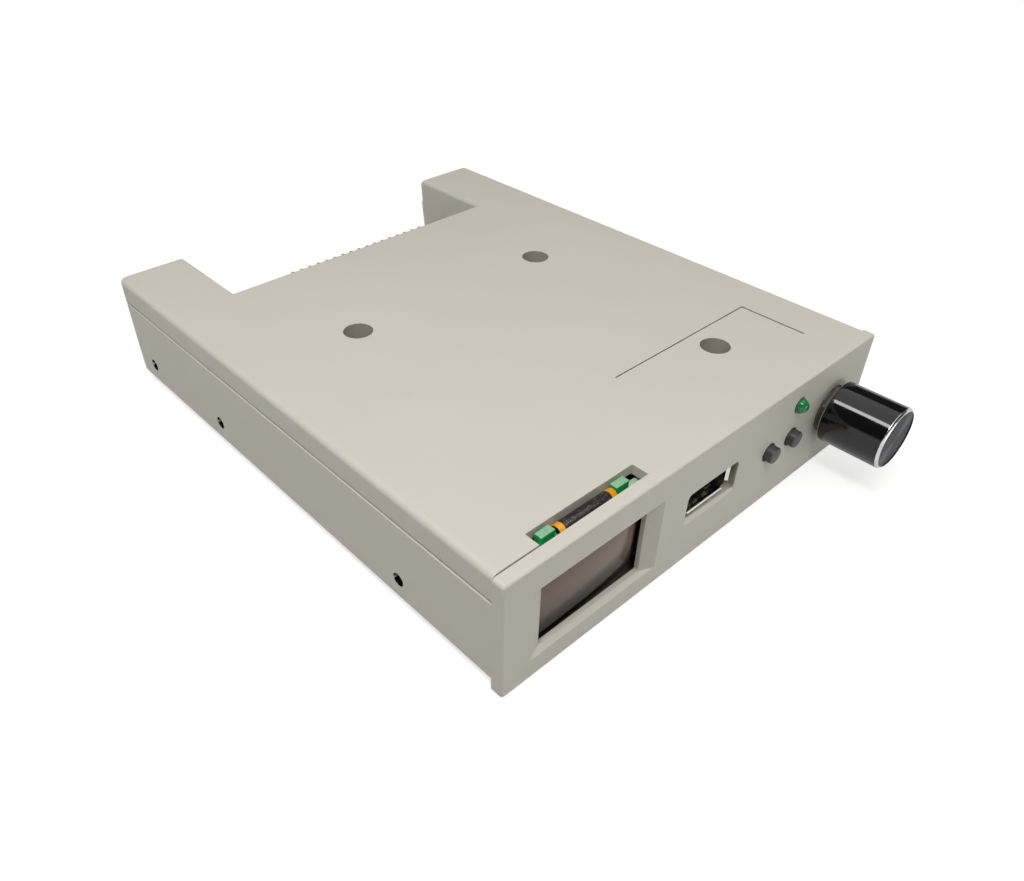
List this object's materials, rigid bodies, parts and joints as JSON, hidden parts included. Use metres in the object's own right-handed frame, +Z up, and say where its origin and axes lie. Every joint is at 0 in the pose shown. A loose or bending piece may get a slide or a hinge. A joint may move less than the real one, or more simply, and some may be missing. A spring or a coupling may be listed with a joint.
{
  "type": "floppy drive emulator",
  "caption": "Flat drive-bay box with a small display, push buttons, a lamp, a memory-stick socket and a rotary knob on the bezel, and pin connectors in a rear notch.",
  "frame": {"origin": "on the surface it stands on, under the middle of the whole object's bounding box, knob included", "axes": "+Z up, +Y from the bezel to the rear notch, +X to the right when facing the bezel"},
  "size_m": [0.1016, 0.1384, 0.0254],
  "materials": {
    "case_plastic": "fine satin moulding, warm light grey",
    "knob_metal": "gloss black anodised, bright chamfer",
    "black_plastic": "moulded",
    "button_plastic": "satin moulded",
    "board": "green solder resist",
    "display_board": "bright green solder resist",
    "steel": "plated",
    "brass": "turned",
    "can": "drawn can",
    "screen_glass": "dark polished display glass",
    "film": "polyimide film",
    "lamp": "clear green epoxy",
    "white_plastic": "moulded",
    "wire": "vinyl ribbon cable"
  },
  "bodies": {
    "housing": {"lower_case": "case_plastic", "top_cover": "case_plastic", "main_pcb": "board", "usb_shell": "steel", "usb_insulator": "white_plastic", "led_lens": "lamp", "led_lead_anode": "steel", "led_lead_cathode": "steel", "display_board": "display_board", "display_glass": "screen_glass", "display_flex": "film", "display_header": "black_plastic", "display_plug": "black_plastic", "display_ribbon": "wire", "encoder_frame": "steel", "encoder_washer": "steel", "encoder_nut": "brass", "encoder_housing": "black_plastic", "encoder_switch": "black_plastic", "detent_spring": "steel", "encoder_ribbon": "wire", "microcontroller": "black_plastic", "crystal": "steel", "voltage_regulator": "black_plastic", "capacitor_input": "can", "capacitor_output": "can", "floppy_header": "black_plastic", "power_connector": "white_plastic", "jumper_header": "black_plastic", "jumper_cap": "black_plastic", "switch_body_left": "black_plastic", "switch_cover_left": "steel", "switch_dome_left": "steel", "switch_body_right": "black_plastic", "switch_cover_right": "steel", "switch_dome_right": "steel", "line_driver_left": "black_plastic", "resistor_pack_left": "black_plastic", "line_driver_right": "black_plastic", "resistor_pack_right": "black_plastic", "cover_screw_1": "steel", "cover_screw_2": "steel", "cover_screw_3": "steel", "board_screw_1": "steel", "board_screw_2": "steel", "board_screw_3": "steel"},
    "rotor": {"encoder_rotor": "white_plastic"},
    "knob": {"knob": "knob_metal", "knob_insert": "black_plastic", "encoder_shaft": "steel"},
    "plunger": {"encoder_plunger": "white_plastic"},
    "button_left": {"button_left": "button_plastic"},
    "button_right": {"button_right": "button_plastic"}
  },
  "joints": [
    {"name": "knob_spin", "type": "hinge", "parent": "housing", "child": "rotor", "pos_m": [0.03875, -0.05482, 0.01315], "axis": [0, 1, 0], "continuous": true},
    {"name": "knob_push", "type": "slide", "parent": "rotor", "child": "knob", "axis": [0, 1, 0], "range_m": [0, 0.0005], "stiffness_N_per_m": 10000},
    {"name": "plunger_push", "type": "slide", "parent": "housing", "child": "plunger", "axis": [0, 1, 0], "range_m": [0, 0.0005]},
    {"name": "button_left_press", "type": "slide", "parent": "housing", "child": "button_left", "axis": [0, 1, 0], "range_m": [0, 0.0003], "stiffness_N_per_m": 6400},
    {"name": "button_right_press", "type": "slide", "parent": "housing", "child": "button_right", "axis": [0, 1, 0], "range_m": [0, 0.0003], "stiffness_N_per_m": 6400}
  ],
  "couplings": [
    {"joint": "plunger_push", "follows": "knob_push", "ratio": 1}
  ]
}
